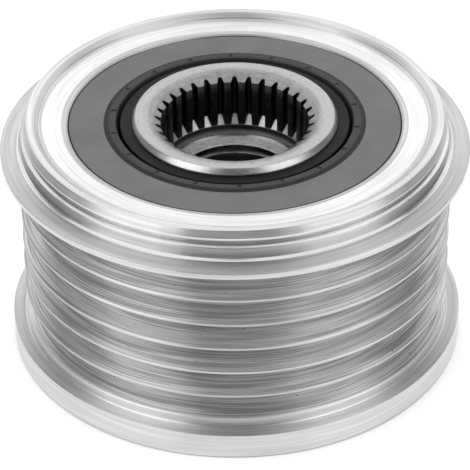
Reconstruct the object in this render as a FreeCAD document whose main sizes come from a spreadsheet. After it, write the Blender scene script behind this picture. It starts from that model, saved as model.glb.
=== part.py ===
import FreeCAD, Part

import os
import re

import Sketcher

# An overrunning alternator pulley, in millimetres.
# The axis is Z, the base of the rim is at zero and the tool end points up.
# A six-groove rim runs on two roller bearings over a serrated hub, with a one-way roller clutch between them.
# Seen from the tool end the hub may run ahead clockwise, and it locks to the rim the other way.

SIZES = {
    # hub bore, from the rear: pilot seat, thread at its minor diameter, ledge and relief
    "pilot_step": 1.31,
    "pilot_depth": 6.0,
    "thread_radius": 7.19,
    "thread_mouth": 0.15,
    "ledge_width": 1.46,
    "relief_step": 0.5,
    "relief_length": 1.15,
    # tool serration and the countersink over it
    "tooth_count": 33,
    "tooth_height": 0.7,
    "tooth_tip_width": 0.76,
    "valley_floor_width": 0.26,
    "serration_depth": 7.4,
    "valley_end_slope": 1.2,
    "countersink_rim": 0.9,
    "countersink_angle": 33.3,
    "countersink_overrun": 0.9,
    # hub face and its broken edge, its ends against the rim's, and the collars pressed on it
    "hub_face_width": 1.6,
    "hub_edge_width": 0.4,
    "hub_edge_drop": 0.75,
    "hub_rear_setback": 0.1,
    "hub_front_setback": 0.15,
    "collar_wall": 1.5,
    # support bearings
    "bearing_roller_count": 10,
    "bearing_roller_diameter": 4.0,
    "roller_clearance": 0.02,
    "cage_thickness": 1.2,
    "cage_rim": 0.9,
    "cage_end_gap": 0.3,
    "cage_side_gap": 0.2,
    "window_play": 0.1,
    # one-way clutch
    "clutch_roller_count": 8,
    "clutch_roller_excess": 0.4,
    "clutch_length": 9.6,
    "clutch_cage_clearance": 0.25,
    "clutch_ring_wall": 3.91,
    "ramp_angle": 6,
    "ramp_run_out": 0.4,
    "spring_room": 3.1,
    "spring_clearance": 0.08,
    "spring_height": 1.5,
    "spring_thickness": 0.45,
    "spring_legs": 5,
    # seals, with their outer faces set back from the rim
    "seal_thickness": 2.0,
    "seal_fit": 0.05,
    "seal_wall": 0.9,
    "seal_band": 1.4,
    "front_seal_setback": 0.25,
    "rear_seal_setback": 0.4,
    "lip_clearance": 0.05,
    "bead_gap": 0.45,
    "bead_width": 0.95,
    "bead_height": 0.22,
    "bead_flank": 0.65,
    # belt seat of the rim
    "rim_wall": 3.4,
    "groove_count": 6,
    "groove_pitch": 3.56,
    "groove_angle": 40,
    "groove_floor": 0.976,
    "crest_land": 0.4,
    "lower_land": 1.32,
    "upper_land": 0.9,
    # belt flanges
    "bottom_flange_reach": 1.75,
    "bottom_flange_height": 3.42,
    "top_flange_reach": 2.21,
    "top_flange_underside": 0.44,
    "top_flange_land": 0.72,
    "top_flange_rise": 0.39,
    # neck, cap groove and lip above the top flange
    "neck_setback": 0.45,
    "neck_height": 1.8,
    "cap_groove_depth": 0.6,
    "cap_groove_width": 0.45,
    "lip_step": 0.3,
    "lip_land": 0.38,
    "lip_taper_width": 0.35,
    "lip_taper_height": 0.92,
    "lip_wall": 0.85,
    "lip_slope_width": 1.3,
    # front face and the mouth of the bore
    "face_depth": 0.85,
    "mouth_width": 1.0,
    "mouth_depth": 0.15,
}

# Radii, worked outwards from the thread.
PILOT_RADIUS = "(thread_radius + pilot_step)"
TOOTH_RADIUS = "(thread_radius + thread_mouth + ledge_width + relief_step)"
VALLEY_RADIUS = f"({TOOTH_RADIUS} + tooth_height)"
COUNTERSINK_RADIUS = f"({VALLEY_RADIUS} + countersink_rim)"
HUB_RADIUS = f"({COUNTERSINK_RADIUS} + hub_face_width + hub_edge_width)"
COLLAR_RADIUS = f"({HUB_RADIUS} + collar_wall)"
BEARING_ORBIT = f"({HUB_RADIUS} + bearing_roller_diameter / 2 + roller_clearance)"
OUTER_RACEWAY = f"({HUB_RADIUS} + bearing_roller_diameter + 2 * roller_clearance)"
CLUTCH_ROLLER_DIAMETER = "(bearing_roller_diameter + clutch_roller_excess)"
CLUTCH_ORBIT = f"({HUB_RADIUS} + {CLUTCH_ROLLER_DIAMETER} / 2 + roller_clearance)"
BORE_RADIUS = f"({OUTER_RACEWAY} + clutch_ring_wall)"
GROOVE_FLOOR_RADIUS = f"({BORE_RADIUS} + rim_wall)"
GROOVE_HALF_MOUTH = "((groove_pitch - crest_land) / 2)"
GROOVE_DEPTH = f"(({GROOVE_HALF_MOUTH} - groove_floor / 2) / tan(groove_angle / 2 * 1 deg))"
CREST_RADIUS = f"({GROOVE_FLOOR_RADIUS} + {GROOVE_DEPTH})"
NECK_RADIUS = f"({CREST_RADIUS} - neck_setback)"
LIP_RADIUS = f"({NECK_RADIUS} - lip_step)"

# Heights, worked up from the base of the rim.
LOWEST_GROOVE = f"(bottom_flange_height + lower_land + {GROOVE_HALF_MOUTH})"
BELT_SEAT = "(groove_pitch * groove_count - crest_land)"
FLANGE_BASE = f"(bottom_flange_height + lower_land + {BELT_SEAT} + upper_land)"
FLANGE_TOP = f"({FLANGE_BASE} + top_flange_underside + top_flange_land + top_flange_rise)"
NECK_TOP = f"({FLANGE_TOP} + neck_height)"
RIM_TOP = f"({NECK_TOP} + cap_groove_width + lip_land + lip_taper_height)"
FACE = f"({RIM_TOP} - face_depth)"
HUB_FRONT = f"({RIM_TOP} - hub_front_setback)"
FRONT_SEAT = f"({FACE} - front_seal_setback - seal_thickness)"
REAR_SEAT = "(rear_seal_setback + seal_thickness)"
CORE_LENGTH = f"({FRONT_SEAT} - {REAR_SEAT})"
CORE_MIDDLE = f"(({FRONT_SEAT} + {REAR_SEAT}) / 2)"

# Lengths along the axis inside the core.
BEARING_CAGE_LENGTH = f"(({CORE_LENGTH} - clutch_length) / 2 - cage_end_gap - cage_side_gap)"
BEARING_ROLLER_LENGTH = f"({BEARING_CAGE_LENGTH} - 2 * cage_rim - 2 * window_play)"
BEARING_OFFSET = f"(clutch_length / 2 + cage_side_gap + {BEARING_CAGE_LENGTH} / 2)"
CLUTCH_ROLLER_LENGTH = "(clutch_length - 2 * cage_rim - 2 * window_play)"

# Across a clutch window, from the roller's axis to its spring.
SPRING_START = f"({CLUTCH_ROLLER_DIAMETER} / 2 + spring_clearance)"
SPRING_END = f"({CLUTCH_ROLLER_DIAMETER} / 2 + spring_room)"

doc = FreeCAD.newDocument("alternator_pulley")
sheet = doc.addObject("Spreadsheet::Sheet", "Sizes")
pieces = []


def fill_sheet():
    """One row per size: its name, its value and the alias that expressions use."""
    for row, (alias, value) in enumerate(SIZES.items(), start=1):
        sheet.set(f"A{row}", alias)
        sheet.set(f"B{row}", str(value))
        sheet.setAlias(f"B{row}", alias)
    doc.recompute()


def bound(text):
    """The expression with each size name pointed at the sheet. Every size name holds an underscore."""
    return re.sub(r"[a-z]+(?:_[a-z]+)+", lambda name: "Sizes." + name.group(), str(text))


def value_of(text):
    return float(sheet.evalExpression(bound(text)))


def count_of(size):
    return int(value_of(size))


def origin_feature(body, role):
    """One of the body's own planes or axes, by its role."""
    return next(item for item in body.Origin.OriginFeatures if item.Role == role)


def new_body(name):
    body = doc.addObject("PartDesign::Body", name)
    body.Label = name
    pieces.append(body)
    return body


def outline(body, name, plane, corners):
    """A closed outline of straight lines on one of the body's planes, with every corner bound to the sheet."""
    sketch = body.newObject("Sketcher::SketchObject", f"{body.Name}_{name}")
    sketch.AttachmentSupport = (origin_feature(body, plane), [""])
    sketch.MapMode = "FlatFace"
    spots = [FreeCAD.Vector(value_of(across), value_of(up), 0) for across, up in corners]
    sketch.addGeometry([Part.LineSegment(*ends) for ends in zip(spots, spots[1:] + spots[:1])], False)
    joins = [Sketcher.Constraint("Coincident", n, 2, (n + 1) % len(spots), 1) for n in range(len(spots))]
    sketch.addConstraint(joins)
    for number, (spot, (across, up)) in enumerate(zip(spots, corners)):
        place = sketch.addConstraint(Sketcher.Constraint("DistanceX", -1, 1, number, 1, spot.x))
        sketch.setExpression(f"Constraints[{place}]", bound(across))
        place = sketch.addConstraint(Sketcher.Constraint("DistanceY", -1, 1, number, 1, spot.y))
        sketch.setExpression(f"Constraints[{place}]", bound(up))
    return sketch


def turned(name, corners):
    """A body turned about Z from half of its section, given as (radius, height) corners."""
    body = new_body(name)
    spin(body, "PartDesign::Revolution", "section", corners)
    return body


def spin(body, kind, name, corners):
    """Adds or cuts a turned form, by the kind of feature."""
    sketch = outline(body, name, "XZ_Plane", corners)
    feature = body.newObject(kind, f"{body.Name}_{name}_turned")
    feature.Profile = sketch
    feature.ReferenceAxis = (sketch, ["V_Axis"])
    feature.Angle = 360
    sketch.Visibility = False
    doc.recompute()
    return feature


def around(body, feature, count):
    """Repeats a feature evenly about Z."""
    pattern = body.newObject("PartDesign::PolarPattern", f"{feature.Name}_around")
    pattern.Originals = [feature]
    pattern.Axis = (origin_feature(body, "Z_Axis"), [""])
    pattern.Angle = 360
    pattern.setExpression("Occurrences", bound(count))
    body.Tip = pattern
    doc.recompute()
    return pattern


def check_change(body, before, grows):
    """Stops when a cut removed nothing or an added form gave nothing."""
    change = body.Shape.Volume - before
    if change == 0 or (change > 0) != grows:
        raise RuntimeError(f"{body.Label}: a feature changed the volume by {change}")


def at_height(body, height, angle=0.0):
    """Sets the body at a height on the axis, turned about it."""
    body.Placement = FreeCAD.Placement(FreeCAD.Vector(), FreeCAD.Rotation(FreeCAD.Vector(0, 0, 1), angle))
    body.setExpression("Placement.Base.z", bound(height))
    return body


def make_rim():
    """The rim, turned in one piece: base flange, belt seat, top flange, neck, cap groove, lip, face and bore."""
    top_flange_radius = f"({CREST_RADIUS} + top_flange_reach)"
    flange_land = f"({FLANGE_BASE} + top_flange_underside)"
    cap_groove_radius = f"({LIP_RADIUS} - cap_groove_depth)"
    cap_groove_top = f"({NECK_TOP} + cap_groove_width)"
    lip_edge = f"({LIP_RADIUS} - lip_taper_width)"
    lip_inner_edge = f"({lip_edge} - lip_wall)"
    rim = turned(
        "pulley_rim",
        [
            (BORE_RADIUS, "0"),
            (f"{CREST_RADIUS} + bottom_flange_reach", "0"),
            (f"{CREST_RADIUS} + bottom_flange_reach", "bottom_flange_height"),
            (CREST_RADIUS, "bottom_flange_height"),
            (CREST_RADIUS, FLANGE_BASE),
            (top_flange_radius, flange_land),
            (top_flange_radius, f"{flange_land} + top_flange_land"),
            (NECK_RADIUS, FLANGE_TOP),
            (NECK_RADIUS, NECK_TOP),
            (cap_groove_radius, NECK_TOP),
            (cap_groove_radius, cap_groove_top),
            (LIP_RADIUS, cap_groove_top),
            (LIP_RADIUS, f"{cap_groove_top} + lip_land"),
            (lip_edge, RIM_TOP),
            (lip_inner_edge, RIM_TOP),
            (f"{lip_inner_edge} - lip_slope_width", FACE),
            (f"{BORE_RADIUS} + mouth_width", FACE),
            (BORE_RADIUS, f"{FACE} - mouth_depth"),
        ],
    )
    cut_grooves(rim)


def cut_grooves(rim):
    """One V-groove at the bottom of the belt seat, repeated up the rim at the rib pitch."""
    overrun = "crest_land / 2"
    outside = f"{CREST_RADIUS} + {overrun} / tan(groove_angle / 2 * 1 deg)"
    before = rim.Shape.Volume
    groove = spin(
        rim,
        "PartDesign::Groove",
        "groove",
        [
            (outside, f"{LOWEST_GROOVE} - {GROOVE_HALF_MOUTH} - {overrun}"),
            (outside, f"{LOWEST_GROOVE} + {GROOVE_HALF_MOUTH} + {overrun}"),
            (GROOVE_FLOOR_RADIUS, f"{LOWEST_GROOVE} + groove_floor / 2"),
            (GROOVE_FLOOR_RADIUS, f"{LOWEST_GROOVE} - groove_floor / 2"),
        ],
    )
    check_change(rim, before, grows=False)
    row = rim.newObject("PartDesign::LinearPattern", "pulley_rim_groove_row")
    row.Originals = [groove]
    row.Direction = (origin_feature(rim, "Z_Axis"), [""])
    row.setExpression("Length", bound("groove_pitch * (groove_count - 1)"))
    row.setExpression("Occurrences", bound("groove_count"))
    rim.Tip = row


def make_seal(name):
    """A rubber-coated ring: a band in the bore, a flat wall, a raised bead and a lip that runs on the collar."""
    outer = f"({BORE_RADIUS} - seal_fit)"
    under_wall = "(seal_thickness - seal_wall)"
    lip_edge = f"({COLLAR_RADIUS} + lip_clearance)"
    bead_inner = f"({COLLAR_RADIUS} + bead_gap)"
    bead_outer = f"({bead_inner} + bead_width)"
    bead_top = "(seal_thickness + bead_height)"
    return turned(
        name,
        [
            (outer, "0"),
            (outer, "seal_thickness"),
            (f"{bead_outer} + bead_flank", "seal_thickness"),
            (bead_outer, bead_top),
            (bead_inner, bead_top),
            (lip_edge, f"{under_wall} / 2"),
            (bead_outer, under_wall),
            (f"{outer} - seal_band", under_wall),
            (f"{outer} - seal_band", "0"),
        ],
    )


def make_seals():
    at_height(make_seal("front_seal"), FRONT_SEAT)
    rear = at_height(make_seal("rear_seal"), REAR_SEAT)
    rear.Placement.Rotation = FreeCAD.Rotation(FreeCAD.Vector(1, 0, 0), 180)


def make_collar(name, height):
    """A plain ring pressed on the hub, as long as the seal is thick."""
    corners = [
        (HUB_RADIUS, "0"),
        (COLLAR_RADIUS, "0"),
        (COLLAR_RADIUS, "seal_thickness"),
        (HUB_RADIUS, "seal_thickness"),
    ]
    at_height(turned(name, corners), height)


def make_hub():
    """The hub: a ground outside that the rollers run on, a stepped bore and the tool serration."""
    relief_top = f"({HUB_FRONT} - serration_depth)"
    relief_end = f"({relief_top} - relief_length)"
    ledge = f"({relief_end} - relief_step)"
    pilot_end = "(hub_rear_setback + pilot_depth)"
    hub = turned(
        "hub",
        [
            (PILOT_RADIUS, "hub_rear_setback"),
            (HUB_RADIUS, "hub_rear_setback"),
            (HUB_RADIUS, f"{HUB_FRONT} - hub_edge_drop"),
            (f"{HUB_RADIUS} - hub_edge_width", HUB_FRONT),
            (VALLEY_RADIUS, HUB_FRONT),
            (VALLEY_RADIUS, f"{relief_top} + valley_end_slope"),
            (TOOTH_RADIUS, relief_top),
            (TOOTH_RADIUS, relief_end),
            (f"{TOOTH_RADIUS} - relief_step", ledge),
            ("thread_radius + thread_mouth", ledge),
            ("thread_radius", f"{ledge} - thread_mouth"),
            ("thread_radius", pilot_end),
            (PILOT_RADIUS, pilot_end),
        ],
    )
    add_teeth(hub, relief_top)
    cut_countersink(hub)


def add_teeth(hub, tooth_foot):
    """One tooth stood between two valleys at the front, repeated about the bore."""
    root = f"-{VALLEY_RADIUS} * cos(180 deg / tooth_count)"
    half_root = f"({VALLEY_RADIUS} * sin(180 deg / tooth_count) - valley_floor_width / 2)"
    in_wall = f"-({VALLEY_RADIUS} + valley_floor_width)"
    profile = outline(
        hub,
        "tooth",
        "XY_Plane",
        [
            (f"-{half_root}", root),
            ("-tooth_tip_width / 2", f"-{TOOTH_RADIUS}"),
            ("tooth_tip_width / 2", f"-{TOOTH_RADIUS}"),
            (half_root, root),
            (half_root, in_wall),
            (f"-{half_root}", in_wall),
        ],
    )
    profile.setExpression("AttachmentOffset.Base.z", bound(tooth_foot))
    before = hub.Shape.Volume
    tooth = hub.newObject("PartDesign::Pad", "hub_tooth_pad")
    tooth.Profile = profile
    tooth.setExpression("Length", bound("serration_depth"))
    doc.recompute()
    around(hub, tooth, "tooth_count")
    check_change(hub, before, grows=True)


def cut_countersink(hub):
    """A cone turned over the tops of the teeth, so that the driver finds its way in."""
    inside = f"({TOOTH_RADIUS} - countersink_overrun)"
    fall = f"({COUNTERSINK_RADIUS} - {inside}) * tan(countersink_angle * 1 deg)"
    before = hub.Shape.Volume
    spin(
        hub,
        "PartDesign::Groove",
        "countersink",
        [(COUNTERSINK_RADIUS, HUB_FRONT), (inside, f"{HUB_FRONT} - {fall}"), (inside, HUB_FRONT)],
    )
    check_change(hub, before, grows=False)


def make_clutch_ring():
    """The drawn ring pressed in the rim: both bearing raceways, with the clutch ramps cut in between them."""
    half = f"{CORE_LENGTH} / 2"
    ring = turned(
        "clutch_ring",
        [
            (OUTER_RACEWAY, f"-{half}"),
            (BORE_RADIUS, f"-{half}"),
            (BORE_RADIUS, half),
            (OUTER_RACEWAY, half),
        ],
    )
    narrow = f"(-{CLUTCH_ROLLER_DIAMETER} / 2 - ramp_run_out)"
    roller_room = f"({CLUTCH_ROLLER_DIAMETER} / 2 + roller_clearance)"
    crown = f"{CLUTCH_ORBIT} + {roller_room} / cos(ramp_angle * 1 deg)"
    profile = outline(
        ring,
        "ramp",
        "XY_Plane",
        [
            (narrow, CLUTCH_ORBIT),
            (SPRING_END, CLUTCH_ORBIT),
            (SPRING_END, f"{crown} + {SPRING_END} * tan(ramp_angle * 1 deg)"),
            (narrow, f"{crown} + {narrow} * tan(ramp_angle * 1 deg)"),
        ],
    )
    before = ring.Shape.Volume
    ramp = ring.newObject("PartDesign::Pocket", "clutch_ring_ramp_pocket")
    ramp.Profile = profile
    ramp.Midplane = True
    ramp.setExpression("Length", bound("clutch_length"))
    doc.recompute()
    around(ring, ramp, "clutch_roller_count")
    check_change(ring, before, grows=False)
    at_height(ring, CORE_MIDDLE)


def make_cage(name, radii, length, window, count, height):
    """A cage ring with one window per roller. The window is (left, right, length) across the +Y side."""
    inner, outer = radii
    left, right, window_length = window
    cage = turned(
        name,
        [
            (inner, f"-{length} / 2"),
            (outer, f"-{length} / 2"),
            (outer, f"{length} / 2"),
            (inner, f"{length} / 2"),
        ],
    )
    profile = outline(
        cage,
        "window",
        "XZ_Plane",
        [
            (left, f"-{window_length} / 2"),
            (right, f"-{window_length} / 2"),
            (right, f"{window_length} / 2"),
            (left, f"{window_length} / 2"),
        ],
    )
    before = cage.Shape.Volume
    opening = cage.newObject("PartDesign::Pocket", f"{name}_window_pocket")
    opening.Profile = profile
    opening.Type = "ThroughAll"
    doc.recompute()
    around(cage, opening, count)
    check_change(cage, before, grows=False)
    at_height(cage, height)


def make_bearing_cage(name, height):
    half_window = "(bearing_roller_diameter / 2 + window_play)"
    make_cage(
        name,
        (f"{BEARING_ORBIT} - cage_thickness / 2", f"{BEARING_ORBIT} + cage_thickness / 2"),
        BEARING_CAGE_LENGTH,
        (f"-{half_window}", half_window, f"({BEARING_ROLLER_LENGTH} + 2 * window_play)"),
        "bearing_roller_count",
        height,
    )


def make_clutch_cage():
    """The plastic cage, held in the ring: each window takes a roller and, beside it, the spring behind it."""
    make_cage(
        "clutch_cage",
        (f"{HUB_RADIUS} + clutch_cage_clearance", OUTER_RACEWAY),
        "clutch_length",
        (
            f"-{CLUTCH_ROLLER_DIAMETER} / 2 - window_play",
            SPRING_END,
            f"({CLUTCH_ROLLER_LENGTH} + 2 * window_play)",
        ),
        "clutch_roller_count",
        CORE_MIDDLE,
    )


def make_rollers(name, count, diameter, length, orbit, height):
    """A ring of rollers, the first on +Y, each standing on its own axis."""
    total = count_of(count)
    for number in range(total):
        roller = doc.addObject("Part::Cylinder", f"{name}_{number + 1:02d}")
        roller.Label = roller.Name
        roller.setExpression("Radius", bound(f"{diameter} / 2"))
        roller.setExpression("Height", bound(length))
        angle = f"(90 + {number} * 360 / {count}) * 1 deg"
        roller.setExpression("Placement.Base.x", bound(f"{orbit} * cos({angle})"))
        roller.setExpression("Placement.Base.y", bound(f"{orbit} * sin({angle})"))
        roller.setExpression("Placement.Base.z", bound(f"{height} - {length} / 2"))
        pieces.append(roller)


def make_springs():
    """Folded leaf springs, each seated on the far wall of its window and reaching to its roller."""
    legs = count_of("spring_legs")
    step = f"({SPRING_END} - {SPRING_START}) / spring_legs"
    folds = [0] + [1 if fold % 2 else -1 for fold in range(1, legs)] + [0]
    upper = [
        (f"{SPRING_START} + {fold} * {step}", f"{CLUTCH_ORBIT} + {side} * spring_height / 2")
        for fold, side in enumerate(folds)
    ]
    lower = [(across, f"{up} - spring_thickness") for across, up in reversed(upper)]
    total = count_of("clutch_roller_count")
    for number in range(total):
        spring = new_body(f"clutch_spring_{number + 1:02d}")
        profile = outline(spring, "folds", "XY_Plane", upper + lower)
        strip = spring.newObject("PartDesign::Pad", f"{spring.Name}_strip")
        strip.Profile = profile
        strip.Midplane = True
        strip.setExpression("Length", bound(f"{CLUTCH_ROLLER_LENGTH} - 2 * window_play"))
        at_height(spring, CORE_MIDDLE, number * 360 / total)


def make_bearing(name, side):
    """One support bearing: a cage and its rollers, on one side of the clutch."""
    height = f"({CORE_MIDDLE} + {side} * {BEARING_OFFSET})"
    make_bearing_cage(f"{name}_bearing_cage", height)
    make_rollers(
        f"{name}_roller",
        "bearing_roller_count",
        "bearing_roller_diameter",
        BEARING_ROLLER_LENGTH,
        BEARING_ORBIT,
        height,
    )


def make_clutch():
    make_clutch_ring()
    make_clutch_cage()
    make_rollers(
        "clutch_roller",
        "clutch_roller_count",
        CLUTCH_ROLLER_DIAMETER,
        CLUTCH_ROLLER_LENGTH,
        CLUTCH_ORBIT,
        CORE_MIDDLE,
    )
    make_springs()


def check_all():
    """Stops on any object that failed and on any piece that isn't one valid solid."""
    doc.recompute()
    for item in doc.Objects:
        if "Invalid" in item.State or "Error" in item.State:
            raise RuntimeError(f"{item.Label} is in state {item.State}")
    for piece in pieces:
        shape = piece.Shape
        if shape.isNull() or not shape.isValid() or len(shape.Solids) != 1:
            raise RuntimeError(f"{piece.Label} isn't one valid solid")


def export_all():
    os.makedirs("parts", exist_ok=True)
    for piece in pieces:
        piece.Shape.exportStep(f"parts/{piece.Label}.step")
        box = piece.Shape.BoundBox
        print(f"{piece.Label}: {piece.Shape.Volume:.1f} mm3, Z {box.ZMin:.2f} to {box.ZMax:.2f}")


fill_sheet()
make_rim()
make_seals()
make_hub()
make_collar("front_collar", FRONT_SEAT)
make_collar("rear_collar", "rear_seal_setback")
make_clutch()
make_bearing("front", 1)
make_bearing("rear", -1)
check_all()
export_all()
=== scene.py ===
# %% [markdown]
# # An overrunning alternator pulley, dressed for a studio picture
# A belt drives the rim of this pulley, and a clutch inside lets the rim overrun the hub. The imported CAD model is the
# fixed frame: it is in metres, the axis is Z, and the rim stands on the floor at zero. The pieces that the camera
# sees best are made again here with their small rounded edges, their thread and their marks. They could stay CAD
# meshes, but those have sharp edges, and an edge without a rounding catches no light. Everything inside keeps its
# CAD mesh and only gets its material.

import math

import bmesh
import bpy
from mathutils import Matrix, Quaternion, Vector


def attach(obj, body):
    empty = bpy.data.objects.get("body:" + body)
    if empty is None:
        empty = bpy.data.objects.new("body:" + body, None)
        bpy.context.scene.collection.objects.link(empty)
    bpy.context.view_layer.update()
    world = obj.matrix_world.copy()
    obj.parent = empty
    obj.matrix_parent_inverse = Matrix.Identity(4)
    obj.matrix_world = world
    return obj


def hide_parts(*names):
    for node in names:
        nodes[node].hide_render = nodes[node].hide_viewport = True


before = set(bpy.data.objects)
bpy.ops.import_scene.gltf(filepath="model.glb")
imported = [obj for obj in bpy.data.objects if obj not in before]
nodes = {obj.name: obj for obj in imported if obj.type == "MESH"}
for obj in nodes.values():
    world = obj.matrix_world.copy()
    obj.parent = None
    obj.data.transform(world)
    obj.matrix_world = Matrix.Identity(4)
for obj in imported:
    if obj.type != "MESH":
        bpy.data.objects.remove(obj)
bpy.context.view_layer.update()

MM = 0.001

# %% [markdown]
# ## Outlines of turned parts
# A turned part is its half section spun round the axis. The section starts as a few corners, and each corner may have
# a rounding. On a lathe no edge stays sharp: the tool or a file breaks it, and that thin round edge catches the light.
# The finished rings could be bevelled instead, but rounding the corners of the outline before the spin is simpler, and
# every edge can have its own size.

# %% A helper that draws an outline
ROUND_STEPS = 3


def outline_of(corners):
    """A bmesh with one closed outline in the XZ plane, from (radius, height, rounding) corners in millimetres."""
    bm = bmesh.new()
    points = [bm.verts.new((radius * MM, 0, height * MM)) for radius, height, _ in corners]
    for one, two in zip(points, points[1:] + points[:1]):
        bm.edges.new((one, two))
    for rounding in sorted({corner[2] for corner in corners if corner[2]}):
        chosen = [point for point, corner in zip(points, corners) if corner[2] == rounding]
        bmesh.ops.bevel(
            bm,
            geom=chosen,
            offset=rounding * MM,
            offset_type="OFFSET",
            affect="VERTICES",
            segments=ROUND_STEPS,
            profile=0.5,
            material=-1,
        )
    return bm


print("steps in a rounded corner:", ROUND_STEPS)

# %% [markdown]
# ## Spin and finish
# The spin goes a full turn and merges its end with its start, so the ring has no seam. A turned part has wide flat
# walls beside thin rounded edges. Flat shading would show every facet, and smooth shading alone would bend the light
# on the walls. So the mesh is smooth, keeps its sharp edges, and weights its normals by the size of the faces, which
# leaves the walls straight and lets only the roundings bend.

# %% Helpers that spin and finish a part
ROUND_Z = {"cent": (0, 0, 0), "axis": (0, 0, 1)}
SHARP_ANGLE = 38
MERGE_DISTANCE = 1e-7
FULL_WEIGHT = 100


def spun(bm, steps):
    """Spins everything in the bmesh a full turn about Z and closes the seam."""
    bmesh.ops.spin(
        bm,
        geom=bm.verts[:] + bm.edges[:],
        **ROUND_Z,
        dvec=(0, 0, 0),
        angle=2 * math.pi,
        steps=steps,
        use_merge=True,
        use_duplicate=False,
    )
    return bm


def mesh_of(name, bm):
    """The bmesh as a mesh."""
    mesh = bpy.data.meshes.new(name)
    bm.to_mesh(mesh)
    bm.free()
    return mesh


def put_in_scene(name, data):
    """A new object with this mesh, lamp or camera, linked to the scene."""
    item = bpy.data.objects.new(name, data)
    bpy.context.scene.collection.objects.link(item)
    return item


def finished(name, bm):
    """Turns the bmesh into an object whose flat faces look flat and whose rounded edges look round."""
    bmesh.ops.remove_doubles(bm, verts=bm.verts[:], dist=MERGE_DISTANCE)
    bmesh.ops.dissolve_degenerate(bm, edges=bm.edges[:], dist=MERGE_DISTANCE)
    bmesh.ops.recalc_face_normals(bm, faces=bm.faces[:])
    open_edges = sum(1 for edge in bm.edges if len(edge.link_faces) != 2)
    mesh = mesh_of(name, bm)
    mesh.shade_smooth()
    mesh.set_sharp_from_angle(angle=math.radians(SHARP_ANGLE))
    piece = put_in_scene(name, mesh)
    weighted = piece.modifiers.new("flat faces stay flat", "WEIGHTED_NORMAL")
    weighted.keep_sharp = True
    weighted.weight = FULL_WEIGHT
    print(name, "faces:", len(mesh.polygons), "open edges:", open_edges)
    return piece


print("edges stay sharp from", SHARP_ANGLE, "degrees")

# %% [markdown]
# ## The belt seat
# The belt runs in six V-grooves at the standard rib pitch. They could be cut out of a plain drum, but since they are
# turned they are simply part of the outline, and a loop writes their corners. The groove floors get the small radius
# of the turning tool, and the crests between the grooves are only broken.

# %% Corners of the six grooves
GROOVES = 6
PITCH = 3.56
LOWEST_GROOVE = 6.32
HALF_MOUTH = 1.58
HALF_FLOOR = 0.488
CREST = 27.25
GROOVE_FLOOR = 24.25
CREST_BREAK = 0.1
TOOL_RADIUS = 0.22

belt_seat = []
for number in range(GROOVES):
    middle = LOWEST_GROOVE + PITCH * number
    belt_seat += [
        (CREST, middle - HALF_MOUTH, CREST_BREAK),
        (GROOVE_FLOOR, middle - HALF_FLOOR, TOOL_RADIUS),
        (GROOVE_FLOOR, middle + HALF_FLOOR, TOOL_RADIUS),
        (CREST, middle + HALF_MOUTH, CREST_BREAK),
    ]
print("grooves:", GROOVES, "corners:", len(belt_seat))

# %% [markdown]
# ## The rim
# The rim is one steel turning: a base flange, the belt seat, a top flange, a neck with a step at its foot, a narrow
# shoulder, the fine groove that holds the protective cap, and a lip round a sunken face. Outside, the lip has a
# narrow land and tapers in above it, so that the cap slides on. Inside, it runs down to the face in a long slope with
# one fine line in it. Stacked rings would show seams, so one outline goes from the rear of the bore up and back to
# its mouth. The sizes are the CAD's, and only roundings and the finest steps are added.

# %% Make the rim
RIM_STEPS = 288
BORE = 20.85

base_flange = [(BORE, 0, 0.2), (29.0, 0, 0.18), (29.0, 3.36, 0.04), (28.6, 3.42, 0.02), (CREST, 3.42, 0.2)]
top_flange = [(CREST, 26.6, 0.1), (29.46, 27.04, 0.06), (29.46, 27.76, 0.05)]
neck = [(27.26, 28.09, 0.03), (26.86, 28.29, 0.03), (26.86, 29.6, 0.02)]
shoulder = [(26.8, 29.66, 0.02), (26.8, 29.79, 0.03)]
cap_groove = [(26.22, 29.98, 0.03), (25.9, 29.95, 0.05), (25.9, 30.4, 0.05)]
lip = [(26.5, 30.4, 0.05), (26.5, 30.78, 0.05), (26.15, 31.7, 0.06), (25.3, 31.7, 0.08)]
line_in_slope = [(24.56, 31.216, 0.02), (24.5, 31.12, 0.02), (24.42, 31.125, 0.02)]
sunken_face = [(24.0, 30.85, 0.25), (21.75, 30.85, 0.03)]
mouth_of_bore = [(21.7, 30.82, 0.03), (21.15, 30.74, 0.04), (20.9, 30.6, 0.04), (BORE, 30.5, 0)]

below = base_flange + belt_seat
above = top_flange + neck + shoulder + cap_groove + lip + line_in_slope + sunken_face + mouth_of_bore
rim = finished("rim_turning", spun(outline_of(below + above), RIM_STEPS))
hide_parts("pulley_rim")
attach(rim, "rim")

# %% [markdown]
# ## The nicks of a seal
# Toward the hub a seal's rubber stands up in a bead, and the mould leaves eighteen fine radial nicks in it. Cutting
# them with small blocks is slow and leaves poor faces. So a nick is one face of the bead's top, inset and pushed in,
# and the spin has eleven steps from one nick to the next.

# %% A helper that presses the nicks in
NICKS = 18
SEAL_STEPS = NICKS * 11
BEAD_TOP = 30.82
ON_TOP = 0.001
FIRST_NICK = -88.7
NICK_MARGIN = 0.16
NICK_DEPTH = 0.12


def cut_nicks(bm):
    """Insets the bead's top face nearest to each nick and pushes it in."""
    bm.faces.ensure_lookup_table()
    top = [face for face in bm.faces if min(corner.co.z for corner in face.verts) > (BEAD_TOP - ON_TOP) * MM]
    middles = [face.calc_center_median() for face in top]
    by_angle = {math.degrees(math.atan2(middle.y, middle.x)): face for middle, face in zip(middles, top)}
    chosen = set()
    for number in range(NICKS):
        wanted = FIRST_NICK + number * 360 / NICKS
        nearest = min(by_angle, key=lambda angle: abs((angle - wanted + 180) % 360 - 180))
        chosen.add(by_angle[nearest])
    bmesh.ops.inset_individual(bm, faces=list(chosen), thickness=NICK_MARGIN * MM, depth=-NICK_DEPTH * MM)
    print("nicks in the bead:", len(chosen))


print("steps round a seal:", SEAL_STEPS)

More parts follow.
